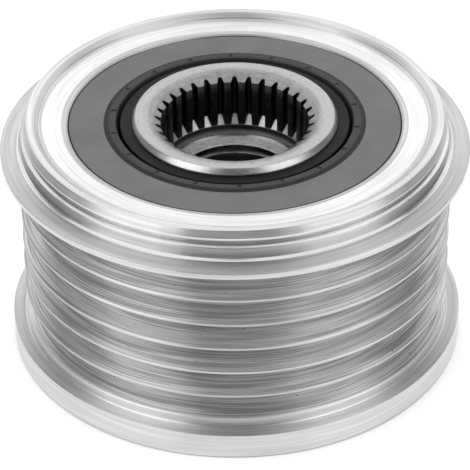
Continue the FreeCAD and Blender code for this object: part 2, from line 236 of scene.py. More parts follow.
# %% [markdown]
# ## The seals
# A seal is a pressed steel ring with black rubber moulded along its edges. Its flat face is plain, and toward the hub
# it rises over a short flank to the bead. Steel and rubber could be two pieces, but they never part, so they are one
# turned section. The rear seal is the same ring the other way up, so one function makes both and turns the second
# about the middle of the pulley.

# %% Make the seals
PULLEY_MIDDLE = 15.5
SEAL_SECTION = [
    (20.8, 28.6, 0.1),
    (20.8, 30.6, 0.18),
    (16.45, 30.6, 0.2),
    (15.8, BEAD_TOP, 0.12),
    (14.85, BEAD_TOP, 0.15),
    (14.45, 29.15, 0.05),
    (15.8, 29.5, 0.1),
    (19.4, 29.5, 0.1),
    (19.4, 28.6, 0.1),
]


def make_seal(name, node, upside_down):
    """One seal, in the place of its CAD node."""
    bm = spun(outline_of(SEAL_SECTION), SEAL_STEPS)
    bmesh.ops.recalc_face_normals(bm, faces=bm.faces[:])
    cut_nicks(bm)
    if upside_down:
        turn = Matrix.Rotation(math.pi, 3, "X")
        bmesh.ops.rotate(bm, verts=bm.verts[:], cent=(0, 0, PULLEY_MIDDLE * MM), matrix=turn)
    seal = finished(name, bm)
    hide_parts(node)
    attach(seal, "rim")
    return seal


front_seal = make_seal("front_seal_moulding", "front_seal", False)
rear_seal = make_seal("rear_seal_moulding", "rear_seal", True)

# %% [markdown]
# ## The collars
# The seal lips run on two dark rings pressed on the hub. A tube made with Solidify would do, but its edges would be
# sharp, so they are turned sections with broken edges too.

# %% Make the collars
COLLAR_STEPS = 160
COLLAR_BORE = 12.9
COLLAR_OUTSIDE = 14.4
COLLAR_LENGTH = 2


def make_collar(name, node, height):
    """One collar that starts at this height, in the place of its CAD node."""
    section = [
        (COLLAR_BORE, height, 0.05),
        (COLLAR_OUTSIDE, height, 0.2),
        (COLLAR_OUTSIDE, height + COLLAR_LENGTH, 0.2),
        (COLLAR_BORE, height + COLLAR_LENGTH, 0.05),
    ]
    collar = finished(name, spun(outline_of(section), COLLAR_STEPS))
    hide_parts(node)
    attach(collar, "hub")
    return collar


front_collar = make_collar("front_collar_ring", "front_collar", 28.6)
rear_collar = make_collar("rear_collar_ring", "rear_collar", 0.4)

# %% [markdown]
# ## The walls of a tooth
# The fitting tool grips 33 teeth inside the hub. A tooth has a flat tip, a steep flank and a rounded corner down to
# the valley. Cutting them with boolean blocks leaves thin faces that shade badly. Instead one tooth's slice of the
# hub is built from stations: a station is an angle and the radius at which the wall stands there. Half a tooth is
# enough, and the other half mirrors it.

# %% Stations over one tooth
TEETH = 33
TIP = 9.3
VALLEY = 10.0
SLICE = 360 / TEETH

HALF_TOOTH = [(0.0, TIP), (0.4, TIP), (0.46, 9.34), (0.66, 9.8), (0.73, 9.93), (0.82, 9.99)]
ONE_SIDE = [(math.degrees(across / wall), wall) for across, wall in HALF_TOOTH] + [(SLICE / 2, VALLEY)]
STATIONS = [(-angle, wall) for angle, wall in reversed(ONE_SIDE[1:])] + ONE_SIDE
print("stations over one tooth:", len(STATIONS))

# %% [markdown]
# ## The outline of the hub
# The hub is a ground sleeve with a long broken edge round its face. From the tool end it has a countersink, the
# teeth, a relief, a ledge, an M16 x 1.5 thread with a small groove over it, and a plain pilot bore. All but the teeth
# is the same all round. So the outline is drawn once, and the two corners that differ from station to station, the
# wall's top and its foot, are marked in a layer of the mesh.

# %% The hub's outline
FACE = 31.55
COUNTERSINK = 10.9
COUNTERSINK_SLOPE = math.tan(math.radians(33.3))
TOOTH_FOOT = 24.15
VALLEY_END = 25.35
VALLEY_END_SLOPE = (VALLEY_END - TOOTH_FOOT) / (VALLEY - TIP)
LEDGE = 22.42
THREAD_CREST = 7.19
THREAD_RELIEF = [(THREAD_CREST, 21.65, 0.03), (7.75, 21.5, 0.03), (7.75, 21.3, 0.03), (THREAD_CREST, 21.17, 0.03)]
THREAD_WALL = [(THREAD_CREST, 20.87, 0.03), (8.0, 20.4, 0.05), (8.0, 6.5, 0.05), (8.1, 6.1, 0.05)]
PILOT_BORE = [(8.5, 6.1, 0.05), (8.5, 0.1, 0.3)]
OUTSIDE = [(12.9, 0.1, 0.3), (12.9, FACE - 0.75, 0.1), (12.5, FACE, 0.1)]
LEDGE_CORNERS = [(TIP, 22.74, 0.1), (9.06, LEDGE, 0.06), (7.3, LEDGE, 0.04), (THREAD_CREST, LEDGE - 0.1, 0.03)]
SERRATION = [(COUNTERSINK, FACE, 0), (VALLEY, FACE - 1, 0), (VALLEY, VALLEY_END, 0), (TIP, TOOTH_FOOT, 0)]
WALL_TOP, WALL_FOOT = 1, 2


def slice_outline():
    """The hub's outline, with the two points that differ round the serration marked in a layer."""
    bm = outline_of(SERRATION + LEDGE_CORNERS + THREAD_RELIEF + THREAD_WALL + PILOT_BORE + OUTSIDE)
    mark = bm.verts.layers.int.new("serration")
    bm.verts.ensure_lookup_table()
    bm.verts[1][mark] = WALL_TOP
    bm.verts[2][mark] = WALL_FOOT
    return bm, mark


def fit_station(points, mark, angle, wall):
    """Moves the marked points of one outline to where the serration's wall stands at this angle."""
    places = {
        WALL_TOP: (wall, FACE - (COUNTERSINK - wall) * COUNTERSINK_SLOPE),
        WALL_FOOT: (wall, TOOTH_FOOT + (wall - TIP) * VALLEY_END_SLOPE),
    }
    for point in points:
        if point[mark]:
            radius, height = places[point[mark]]
            point.co = (radius * MM * math.cos(angle), radius * MM * math.sin(angle), height * MM)


print("length of the hub:", round(FACE - 0.1, 2), "mm")

# %% [markdown]
# ## One slice of the hub
# The outline is extruded from one station to the next, turned by the angle between them and fitted to the wall there.
# A single spin can't do that, because it repeats one outline. A tooth stands at the front.

# %% Make one slice of the hub
FRONT = -90


def turn_about_axis(bm, points, degrees):
    """Turns some points of the bmesh round Z."""
    bmesh.ops.rotate(bm, verts=points, cent=(0, 0, 0), matrix=Matrix.Rotation(math.radians(degrees), 3, "Z"))


def make_slice():
    """One tooth's slice of the hub, from station to station."""
    bm, mark = slice_outline()
    points, edges = bm.verts[:], bm.edges[:]
    angle = FRONT + STATIONS[0][0]
    turn_about_axis(bm, points, angle)
    fit_station(points, mark, math.radians(angle), STATIONS[0][1])
    for station, wall in STATIONS[1:]:
        made = bmesh.ops.extrude_edge_only(bm, edges=edges)["geom"]
        points = [item for item in made if isinstance(item, bmesh.types.BMVert)]
        edges = [item for item in made if isinstance(item, bmesh.types.BMEdge)]
        edges = [edge for edge in edges if all(point in set(points) for point in edge.verts)]
        turn_about_axis(bm, points, FRONT + station - angle)
        angle = FRONT + station
        fit_station(points, mark, math.radians(angle), wall)
    return bm


hub_mesh = make_slice()
print("faces in one slice of the hub:", len(hub_mesh.faces))

# %% [markdown]
# ## All 33 teeth
# The broach cuts all teeth alike, so the finished slice is repeated round the axis. An Array modifier could do it,
# but a spin with use_duplicate does it in the mesh itself, and the finish then merges the seams.

# %% Repeat the slice
bmesh.ops.spin(
    hub_mesh,
    geom=hub_mesh.verts[:] + hub_mesh.edges[:] + hub_mesh.faces[:],
    **ROUND_Z,
    dvec=(0, 0, 0),
    angle=2 * math.pi * (TEETH - 1) / TEETH,
    steps=TEETH - 1,
    use_duplicate=True,
)
print("faces in the whole hub:", len(hub_mesh.faces))

# %% [markdown]
# ## The thread
# An inside thread is a ridge that winds up the bore. A bump or plain rings would look right from far off, but the
# camera sees the first turns climb. So the ridge is real: its section is a small trapezium with 30 degree flanks, and
# its crest is a quarter of the pitch wide. A spin that also climbs a little at each step winds it up, and the two
# open ends are filled.

# %% Wind the thread
THREAD_PITCH = 1.5
THREAD_ROOT = 8.03
HALF_CREST = THREAD_PITCH / 8
HALF_ROOT = HALF_CREST + (THREAD_ROOT - THREAD_CREST) * math.tan(math.radians(30))
THREAD_BOTTOM = 7.3
THREAD_TURNS = 8
STEPS_A_TURN = 48


def wind_thread(bm):
    """Winds the ridge into the hub's bmesh and tells how high it climbs."""
    section = [
        (THREAD_ROOT, THREAD_BOTTOM - HALF_ROOT),
        (THREAD_CREST, THREAD_BOTTOM - HALF_CREST),
        (THREAD_CREST, THREAD_BOTTOM + HALF_CREST),
        (THREAD_ROOT, THREAD_BOTTOM + HALF_ROOT),
    ]
    points = [bm.verts.new((radius * MM, 0, height * MM)) for radius, height in section]
    edges = [bm.edges.new(pair) for pair in zip(points, points[1:] + points[:1])]
    made = bmesh.ops.spin(
        bm,
        geom=points + edges,
        **ROUND_Z,
        dvec=(0, 0, THREAD_PITCH / STEPS_A_TURN * MM),
        angle=2 * math.pi * THREAD_TURNS,
        steps=STEPS_A_TURN * THREAD_TURNS,
        use_merge=False,
        use_duplicate=False,
    )["geom_last"]
    last = [item for item in made if isinstance(item, bmesh.types.BMEdge)]
    bmesh.ops.holes_fill(bm, edges=edges, sides=0)
    bmesh.ops.holes_fill(bm, edges=last, sides=0)
    return max(item.co.z for item in made if isinstance(item, bmesh.types.BMVert))


print("thread climbs to", round(wind_thread(hub_mesh) / MM, 2), "mm")

# %% [markdown]
# ## Flat ends in the valleys
# Each valley ends on a turned cone, as a small sloping triangle of one even grey. Smooth shading would let its
# brightness run into the walls beside it. Sharp edges round it would do, but it is simpler to shade just those faces
# flat. They are found by where they lie and how far they look up.

# %% Finish the hub
LOOKS_UP = 0.3

hub = finished("hub_sleeve", hub_mesh)
flat_faces = 0
for face in hub.data.polygons:
    at_the_ends = TOOTH_FOOT < face.center.z / MM < VALLEY_END and face.center.xy.length > TIP * MM
    if at_the_ends and face.normal.z > LOOKS_UP:
        face.use_smooth = False
        flat_faces += 1
print("flat faces at the valley ends:", flat_faces)
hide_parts("hub")
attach(hub, "hub")

# %% [markdown]
# ## Node helpers
# The materials are all built from nodes. They could be clicked together in the shader editor, but a script can be
# read and changed. One helper turns a colour as it is written on a screen into the linear numbers that a shader
# needs, one adds a node with its settings and links, and two start a new material.

# %% Colour and node helpers
def linear(hex_colour):
    """An sRGB colour such as #c0c0c0, as linear red, green, blue and alpha."""
    parts = [int(hex_colour[place : place + 2], 16) / 255 for place in (1, 3, 5)]
    curve = [part / 12.92 if part <= 0.04045 else ((part + 0.055) / 1.055) ** 2.4 for part in parts]
    return (*curve, 1.0)


def add_node(tree, kind, settings=(), links=()):
    """A new node. Settings are its properties by name or its inputs by name or number, links go to its inputs."""
    node = tree.nodes.new(kind)
    for name, value in dict(settings).items():
        if isinstance(name, str) and hasattr(node, name):
            setattr(node, name, value)
        else:
            node.inputs[name].default_value = value
    for name, source in dict(links).items():
        tree.links.new(source, node.inputs[name])
    return node


def empty_tree(owner):
    """The node tree of a material or a world, with nothing in it yet."""
    owner.use_nodes = True
    owner.node_tree.nodes.clear()
    return owner.node_tree


def new_material(name):
    """A material with only its principled shader and its output."""
    material = bpy.data.materials.new(name)
    tree = empty_tree(material)
    shader = add_node(tree, "ShaderNodeBsdfPrincipled")
    add_node(tree, "ShaderNodeOutputMaterial", {}, {"Surface": shader.outputs["BSDF"]})
    return material, tree, shader


print("the grey #c0c0c0 in linear numbers:", round(linear("#c0c0c0")[0], 3))

# %% [markdown]
# ## Places on a turned part
# Most of what differs over a turned part differs with its radius and its height, such as a blackened bore beside a
# ground face. With a material for each area a finish could only change along mesh edges. So the materials read the
# object's own coordinates, split into the direction round the axis, the radius and the height, and a zone is a range
# of some of them with a short fade round it.

# %% Places and zones
EDGE_FADE = 0.05


def axis_places(tree):
    """The direction round the axis as a unit vector, the radius and the height, from the object's own place."""
    place = add_node(tree, "ShaderNodeTexCoord").outputs["Object"]
    parts = add_node(tree, "ShaderNodeSeparateXYZ", {}, {"Vector": place})
    flat = add_node(tree, "ShaderNodeCombineXYZ", {}, {"X": parts.outputs["X"], "Y": parts.outputs["Y"]})
    around = add_node(tree, "ShaderNodeVectorMath", {"operation": "NORMALIZE"}, {0: flat.outputs[0]})
    radius = add_node(tree, "ShaderNodeVectorMath", {"operation": "LENGTH"}, {0: flat.outputs[0]})
    return {"around": around.outputs["Vector"], "radius": radius.outputs["Value"], "height": parts.outputs["Z"]}


def zone(tree, places, ranges, within=None):
    """One where each place is in its range of millimetres, fading out round it, and zero elsewhere. A range is a
    start, an end and, where it isn't the usual one, a fade. A zone may lie within another one."""
    total = within
    for name, (start, end, *fades) in ranges.items():
        fade = fades[0] if fades else EDGE_FADE
        rise = {"From Min": (start - fade) * MM, "From Max": start * MM}
        fall = {"From Min": end * MM, "From Max": (end + fade) * MM, "To Min": 1.0, "To Max": 0.0}
        for side in (rise, fall):
            part = add_node(tree, "ShaderNodeMapRange", side, {"Value": places[name]}).outputs[0]
            if total is not None:
                part = add_node(tree, "ShaderNodeMath", {"operation": "MULTIPLY"}, {0: total, 1: part}).outputs[0]
            total = part
    return total


print("zones fade over", EDGE_FADE, "mm")

# %% [markdown]
# ## Shades and gloss
# No real surface has one grey: a finish runs between a darker and a lighter shade, and a noise decides where. A colour
# ramp could do that, but a range and a mix are easier to read. The same goes for the gloss. Other finishes are then
# laid over the first one, each in its zones.

# %% Helpers for shades and surfaces
MIDDLE_OF_NOISE = (0.35, 0.65)
WIDE_OF_NOISE = (0.3, 0.7)
BUMP_STRENGTH = 0.3


def shade(tree, noise, dark, light, spread=MIDDLE_OF_NOISE):
    """A colour that runs from dark to light as the noise goes over its spread."""
    ends = {"From Min": spread[0], "From Max": spread[1]}
    share = add_node(tree, "ShaderNodeMapRange", ends, {"Value": noise}).outputs[0]
    colours = {"data_type": "RGBA", 6: linear(dark), 7: linear(light)}
    return add_node(tree, "ShaderNodeMix", colours, {0: share}).outputs[2]


def lay_finishes(tree, colour, noise, finishes, zones, spread=MIDDLE_OF_NOISE):
    """Lays finishes over the colour. Each is a dark and a light shade, and the names of the zones that have it."""
    for dark, light, *names in finishes:
        where = zones[names[0]]
        for name in names[1:]:
            links = {0: where, 1: zones[name]}
            where = add_node(tree, "ShaderNodeMath", {"operation": "MAXIMUM"}, links).outputs[0]
        links = {0: where, 6: colour, 7: shade(tree, noise, dark, light, spread)}
        colour = add_node(tree, "ShaderNodeMix", {"data_type": "RGBA"}, links).outputs[2]
    return colour


def set_surface(tree, shader, colour, noise, roughness, zones=None, changes=(), relief=None, depth=0.01):
    """Sets the colour, the roughness between two ends by a noise, with a change in each named zone, and a bump from
    the relief, another noise, with its depth in millimetres."""
    tree.links.new(colour, shader.inputs["Base Color"])
    ends = dict(zip(("From Min", "From Max", "To Min", "To Max"), (*WIDE_OF_NOISE, *roughness)))
    gloss = add_node(tree, "ShaderNodeMapRange", ends, {"Value": noise}).outputs[0]
    for name, change in dict(changes).items():
        links = {0: zones[name], 2: gloss}
        gloss = add_node(tree, "ShaderNodeMath", {"operation": "MULTIPLY_ADD", 1: change}, links).outputs[0]
    tree.links.new(gloss, shader.inputs["Roughness"])
    if relief is not None:
        settings = {"Strength": BUMP_STRENGTH, "Distance": depth * MM}
        bump = add_node(tree, "ShaderNodeBump", settings, {"Height": relief})
        tree.links.new(bump.outputs["Normal"], shader.inputs["Normal"])


print("a shade uses the noise from", *MIDDLE_OF_NOISE)

# %% [markdown]
# ## Lines left by the lathe
# A turning tool leaves circles round the axis, on walls and on faces alike. So the pattern is a noise that changes
# fast with radius and height and slowly round the axis. A noise stretched in X, Y or Z would suit only a wall or only
# a face. The direction round the axis goes in as a unit vector, so that the pattern has no seam. A real feed of about
# 0.1 mm is finer than a pixel, so the noise is drawn about twice as coarse and the even lines in the grooves four
# times.

# %% Lathe lines
def lathe_lines(tree, places, spacing, breaks, detail=2.0):
    """Noise in circles: a new line about every spacing millimetres, changing a few times round the axis."""
    slow = add_node(tree, "ShaderNodeVectorMath", {"operation": "SCALE", "Scale": breaks}, {0: places["around"]})
    parts = add_node(tree, "ShaderNodeSeparateXYZ", {}, {"Vector": slow.outputs[0]})
    by_spacing = {"operation": "MULTIPLY", 1: 0.5 / (spacing * MM)}
    across = add_node(tree, "ShaderNodeMath", by_spacing, {0: places["radius"]})
    along = add_node(tree, "ShaderNodeMath", by_spacing, {0: places["height"]})
    links = {"X": parts.outputs["X"], "Y": parts.outputs["Y"], "Z": across.outputs[0]}
    place = add_node(tree, "ShaderNodeCombineXYZ", {}, links)
    settings = {"noise_dimensions": "4D", "Scale": 1.0, "Detail": detail, "Roughness": 0.55}
    noise = add_node(tree, "ShaderNodeTexNoise", settings, {"Vector": place.outputs[0], "W": along.outputs[0]})
    return noise.outputs["Fac"]


DRAWN_FEED = 0.42
FEED_WANDER = 0.4


def feed_lines(tree, places, drift):
    """Even lines, one for each turn of the work, that the drift noise shifts a little."""
    wander = {"operation": "MULTIPLY_ADD", 1: FEED_WANDER * MM}
    shifted = add_node(tree, "ShaderNodeMath", wander, {0: drift, 2: places["radius"]})
    down = add_node(tree, "ShaderNodeMath", {"operation": "SUBTRACT"}, {0: shifted.outputs[0], 1: places["height"]})
    to_turns = {"operation": "MULTIPLY", 1: 2 * math.pi / (DRAWN_FEED * MM)}
    turns = add_node(tree, "ShaderNodeMath", to_turns, {0: down.outputs[0]})
    wave = add_node(tree, "ShaderNodeMath", {"operation": "SINE"}, {0: turns.outputs[0]})
    about_a_half = {"operation": "MULTIPLY_ADD", 1: 0.3, 2: 0.5}
    return add_node(tree, "ShaderNodeMath", about_a_half, {0: wave.outputs[0]}).outputs[0]


print("feed lines drawn every", DRAWN_FEED, "mm")

# %% [markdown]
# ## Patches and grain
# Plating, phosphate and rubber are uneven in small patches without a direction, which plain noise gives. The lathe's
# circles also stretch the gloss across themselves, so a highlight becomes a streak. Real grooves in the mesh would be
# far too many, so the shader is told the direction of the grain, from a tangent that runs round the axis.

# %% Patches and the grain of turned steel
QUARTER_TURN = 0.25


def patches(tree, size, detail=3.0):
    """Even noise with patches of about this size in millimetres."""
    place = add_node(tree, "ShaderNodeTexCoord").outputs["Object"]
    settings = {"Scale": 1 / (size * MM), "Detail": detail, "Roughness": 0.6}
    return add_node(tree, "ShaderNodeTexNoise", settings, {"Vector": place}).outputs["Fac"]


def grain_round_axis(tree, shader, places, amount):
    """Stretches the gloss across the lathe's circles, as their fine grooves do."""
    shader.inputs["Metallic"].default_value = 1.0
    shader.inputs["Anisotropic"].default_value = amount
    shader.inputs["Anisotropic Rotation"].default_value = QUARTER_TURN
    turned_by_90 = {"rotation_type": "Z_AXIS", "Angle": math.pi / 2}
    along = add_node(tree, "ShaderNodeVectorRotate", turned_by_90, {"Vector": places["around"]})
    spaces = {"vector_type": "VECTOR", "convert_from": "OBJECT", "convert_to": "WORLD"}
    tangent = add_node(tree, "ShaderNodeVectorTransform", spaces, {"Vector": along.outputs[0]})
    tree.links.new(tangent.outputs[0], shader.inputs["Tangent"])


print("the grain is turned by", QUARTER_TURN, "of a turn")

# %% [markdown]
# ## Where the rim differs
# The grooves took less plating than the outside, so they are a little darker and their lines show more. The mouth of
# the bore was only ground. The sunken face and the lip's land are clean and light, and the wall of the base
# flange gets the same light tone as a painted reflection of the bright floor. The narrow places that a fine cut
# reached, at the neck's foot, the shoulder and the cap groove, are the brightest, and the land and the shelf
# under the belt seat get the same tone as painted light. The lower edge, on which the part stands, is painted dark
# with the specks' tone as painted shade, for the dark contact with the floor that it mirrors. Masks could be
# painted, but a table of ranges in millimetres is easier to correct.

# %% Zones and finishes of the rim
RIM_ZONES = {
    "grooves": {"radius": (24.0, 27.1), "height": (4.8, 26.5)},
    "mouth_of_bore": {"radius": (20.0, 21.72)},
    "top_of_flange": {"radius": (27.3, 29.4), "height": (27.7, 28.2)},
    "face": {"radius": (21.7, 24.1), "height": (30.7, 30.95)},
    # The wall of the base flange is painted lighter as a painted reflection of the bright floor.
    "base_wall": {"radius": (28.9, 29.1), "height": (0.2, 3.34)},
    "lip_land": {"radius": (26.44, 26.6), "height": (30.36, 30.8)},
    "neck_foot": {"radius": (26.9, 27.3), "height": (28.0, 28.34)},
    "shoulder": {"radius": (26.3, 26.86), "height": (29.76, 30.0)},
    "cap_groove": {"radius": (25.8, 26.45), "height": (29.9, 30.4)},
    # The land and the shelf under the belt seat are painted lighter as painted light.
    "lower_land": {"radius": (27.1, 27.45), "height": (3.4, 4.95)},
    "shelf": {"radius": (27.5, 28.95), "height": (3.3, 3.5)},
    # The lower edge is painted dark as painted shade, for the dark contact with the floor that it mirrors.
    "painted_shade_lower_edge": {"radius": (28.5, 29.1), "height": (-0.1, 0.1)},
    "flange_walls": {"radius": (28.96, 29.6), "height": (0.2, 27.74)},
}
GROOVE_FINISH = [("#aeaeae", "#ececeb", "grooves")]
RIM_FINISHES = [
    ("#a8a8a8", "#c0c0bf", "mouth_of_bore"),
    ("#b0b0af", "#c8c8c7", "top_of_flange"),
    # This light tone is clean plating on the face and the lip's land, and a painted reflection on the base wall.
    ("#cececd", "#e4e4e3", "face", "base_wall", "lip_land"),
    # This lightest tone is a fine cut at the neck's foot, the shoulder and the cap groove, and painted light on the
    # land and the shelf.
    ("#dededd", "#f4f4f3", "neck_foot", "shoulder", "cap_groove", "lower_land", "shelf"),
    # The specks are real wear in the grooves; on the lower edge the same dark tone is painted shade.
    ("#7c7c7a", "#9a9a98", "specks", "painted_shade_lower_edge"),
]
# What a zone adds to the roughness. Less than nothing makes it smoother.
RIM_GLOSS = {"neck_foot": -0.15, "shoulder": -0.15, "lip_land": -0.15, "flange_walls": -0.075, "shelf": 0.24}
print("zones of the rim:", len(RIM_ZONES))

# %% [markdown]
# ## Turned steel, zinc plated
# The rim is carbon steel, turned and then plated with thin bright zinc. To the eye it is a light neutral metal with a
# satin gloss: broad soft reflections, drawn out along the axis by the tool's circles, fine light and dark lines,
# cloudy patches where the plating is thicker, and here and there a dark speck in a groove. Fine lines give the colour
# and a faint relief, broad ones the gloss, and the grooves mix in the even lines of the feed.

# %% Rim material
FINE_LINES = 0.18
BROAD_LINES = 0.6
CLOUDS = 3.0
SPECKS = 0.5
DARKEST_PATCHES = {"From Min": 0.755, "From Max": 0.8}
GROOVE_SPREAD = (0.37, 0.63)


def turned_zinc_plated_steel():
    material, tree, shader = new_material("turned_zinc_plated_steel")
    places = axis_places(tree)
    zones = {name: zone(tree, places, ranges) for name, ranges in RIM_ZONES.items()}
    fouled = add_node(tree, "ShaderNodeMapRange", DARKEST_PATCHES, {"Value": patches(tree, SPECKS, 1.0)})
    zones["specks"] = zone(tree, places, RIM_ZONES["grooves"], within=fouled.outputs[0])
    fine = lathe_lines(tree, places, FINE_LINES, 2.2, 1.0)
    broad = lathe_lines(tree, places, BROAD_LINES, 1.5)
    feed = feed_lines(tree, places, broad)
    lines = add_node(tree, "ShaderNodeMix", {0: 0.15}, {2: fine, 3: broad}).outputs[0]
    cloudy = add_node(tree, "ShaderNodeMix", {0: 0.1}, {2: lines, 3: patches(tree, CLOUDS)}).outputs[0]
    even = add_node(tree, "ShaderNodeMix", {0: 0.22}, {2: fine, 3: feed}).outputs[0]
    colour = shade(tree, cloudy, "#c2c2c1", "#d8d8d7")
    colour = lay_finishes(tree, colour, even, GROOVE_FINISH, zones, GROOVE_SPREAD)
    colour = lay_finishes(tree, colour, cloudy, RIM_FINISHES, zones)
    set_surface(tree, shader, colour, broad, (0.29, 0.32), zones, RIM_GLOSS, relief=fine)
    grain_round_axis(tree, shader, places, 1.0)
    return material


rim_steel = turned_zinc_plated_steel()
print(rim_steel.name, "nodes:", len(rim_steel.node_tree.nodes))

# %% [markdown]
# ## Where the hub differs
# The broached teeth are painted almost black, and their tops near the mouth are painted lighter as a painted
# highlight that fades down the bore. The cone at the foot of each valley was turned later and is bright. The
# countersink lies between the two, and the chamfer round the face is light. The ledge and the step over the thread
# are bright but rough, and the thread is painted dark as painted shade deep in the bore. On a cone, height less slope
# times radius is the same number everywhere, so a range of that number picks a cone out.

# %% Zones and finishes of the hub
CONES = {"on_countersink": COUNTERSINK_SLOPE, "on_valley_end": VALLEY_END_SLOPE}
ON_COUNTERSINK = FACE - COUNTERSINK * COUNTERSINK_SLOPE
ON_VALLEY_END = TOOTH_FOOT - TIP * VALLEY_END_SLOPE
FAR_BELOW = -20

HUB_ZONES = {
    "countersink": {"on_countersink": (ON_COUNTERSINK - 0.1, ON_COUNTERSINK + 0.1), "radius": (9.0, COUNTERSINK)},
    "chamfer": {"radius": (12.5, 13.0), "height": (30.8, 31.6)},
    "teeth": {
        "radius": (0.0, 11.0),
        "height": (23.6, 31.2, 0.6),
        "on_countersink": (FAR_BELOW, ON_COUNTERSINK - 0.12),
    },
    "valley_ends": {"on_valley_end": (ON_VALLEY_END - 0.06, ON_VALLEY_END + 0.06), "radius": (TIP + 0.03, VALLEY)},
    "ledge": {"radius": (7.15, 9.2), "height": (LEDGE - 0.06, LEDGE + 0.03)},
    # Under the ledge the thread is painted dark as painted shade deep in the bore.
    "thread": {"radius": (0.0, 8.4), "height": (6.0, 22.3)},
    "step_over_thread": {"radius": (7.1, 7.8), "height": (21.12, 21.32)},
}
# The tops of the teeth near the mouth are painted lighter, fading down the bore: a painted highlight.
PAINTED_HIGHLIGHT_TOPS = {"radius": (9.0, TIP + 0.05), "height": (30.3, 31.5, 1.3)}
HUB_FINISHES = [
    ("#868686", "#a2a2a1", "countersink"),
    ("#c6c6c5", "#dededd", "chamfer"),
    ("#363636", "#4c4c4c", "teeth"),
    # A painted highlight on the tops of the teeth.
    ("#7c7c7c", "#a0a09f", "painted_highlight_tops"),
    ("#e0e0e0", "#fefefd", "valley_ends"),
    ("#cecece", "#fcfcfb", "ledge"),
    # The thread's dark tone is painted shade deep in the bore.
    ("#4c4c4c", "#6a6a69", "thread"),
    ("#b0b0b0", "#e2e2e1", "step_over_thread"),
]
HUB_GLOSS = {"ledge": 0.38, "step_over_thread": 0.38, "valley_ends": 0.152}
print("zones of the hub:", len(HUB_ZONES) + 1)

# %% [markdown]
# ## Ground and hardened steel
# The hub is hardened bearing steel. Its face and its outside were ground after hardening, which leaves an even light
# satin with faint circles and a slight mottle. Real grinding lines are finer than a pixel, so they are drawn every
# 0.16 mm. It is metal all over, so only greys and gloss change from zone to zone, and one material does for it all.

# %% Hub material
GRINDING_LINES = 0.16
MOTTLE = 0.5


def ground_and_hardened_steel():
    material, tree, shader = new_material("ground_and_hardened_steel")
    places = axis_places(tree)
    for name, slope in CONES.items():
        down_the_cone = {"operation": "MULTIPLY_ADD", 1: -slope}
        links = {0: places["radius"], 2: places["height"]}
        places[name] = add_node(tree, "ShaderNodeMath", down_the_cone, links).outputs[0]
    zones = {name: zone(tree, places, ranges) for name, ranges in HUB_ZONES.items()}
    # The painted highlight on the tooth tops lies within the teeth.
    zones["painted_highlight_tops"] = zone(tree, places, PAINTED_HIGHLIGHT_TOPS, within=zones["teeth"])
    fine = lathe_lines(tree, places, GRINDING_LINES, 4.0)
    mottled = add_node(tree, "ShaderNodeMix", {0: 0.4}, {2: fine, 3: patches(tree, MOTTLE)}).outputs[0]
    colour = lay_finishes(tree, shade(tree, mottled, "#949493", "#aaaaa9"), mottled, HUB_FINISHES, zones)
    set_surface(tree, shader, colour, fine, (0.28, 0.38), zones, HUB_GLOSS, relief=fine)
    grain_round_axis(tree, shader, places, 0.5)
    return material


hub_steel = ground_and_hardened_steel()
print(hub_steel.name, "nodes:", len(hub_steel.node_tree.nodes))

# %% [markdown]
# ## Phosphated steel with nitrile rubber
# The seal is a steel ring with a grey phosphate skin: matt, even and very fine. Its crystals are too small to show, so
# the grain is drawn at 0.25 mm. Black nitrile rubber is moulded along both edges, as the bead and lip inside and a
# thin edge outside. The thin outside edge is painted black partly as its rubber and partly as painted shade of the
# gap beside the rim, and the flank of the bead is painted darkest as painted shade, for the shade it stands in. The
# phosphate is a crystal skin and not bare metal, so the shader isn't metallic, and the same matt gloss suits skin and
# rubber.

# %% Seal material
PHOSPHATE_GRAIN = 0.25
PHOSPHATE_CLOUDS = 6.0
SEAL_ZONES = {
    "bead": {"radius": (0.0, 16.35, 0.08)},
    # The outside edge is its black rubber, painted dark also as painted shade of the gap beside the rim.
    "rubber_and_gap_shade_edge": {"radius": (20.74, 21.0)},
    # The flank of the bead is painted darkest as painted shade.
    "flank": {"radius": (15.86, 16.36)},
}
# The first finish is the rubber of the bead and the outside edge, with painted shade of the gap; the second is painted
# shade on the flank.
SEAL_FINISHES = [("#1e1e1e", "#252525", "bead", "rubber_and_gap_shade_edge"), ("#060606", "#0c0c0c", "flank")]
MATT = (0.45, 0.6)


def phosphated_steel_with_nitrile_rubber():
    material, tree, shader = new_material("phosphated_steel_with_nitrile_rubber")
    places = axis_places(tree)
    zones = {name: zone(tree, places, ranges) for name, ranges in SEAL_ZONES.items()}
    grain = patches(tree, PHOSPHATE_GRAIN, 2.0)
    cloudy = add_node(tree, "ShaderNodeMix", {0: 0.5}, {2: grain, 3: patches(tree, PHOSPHATE_CLOUDS)}).outputs[0]
    colour = shade(tree, cloudy, "#525252", "#5c5c5c", (0.4, 0.6))
    colour = lay_finishes(tree, colour, grain, SEAL_FINISHES, zones)
    set_surface(tree, shader, colour, grain, MATT, relief=grain)
    shader.inputs["Specular IOR Level"].default_value = 0.35
    return material


seal_skin = phosphated_steel_with_nitrile_rubber()
print(seal_skin.name, "nodes:", len(seal_skin.node_tree.nodes))

# %% [markdown]
# ## Blackened steel
# The collars are steel blackened in a hot salt bath: a thin dark film of oxide with a low sheen, through which the
# turning just shows. A dark metal would mirror the bright studio too much, so the film is a dark surface with a weak
# reflection, and faint lathe lines vary both.

# %% Collar material
COLLAR_LINES = 0.2


def blackened_collar_steel():
    material, tree, shader = new_material("blackened_collar_steel")
    fine = lathe_lines(tree, axis_places(tree), COLLAR_LINES, 3.0)
    set_surface(tree, shader, shade(tree, fine, "#080808", "#101010"), fine, MATT)
    shader.inputs["Specular IOR Level"].default_value = 0.15
    return material


collar_steel = blackened_collar_steel()
print(collar_steel.name, "nodes:", len(collar_steel.node_tree.nodes))

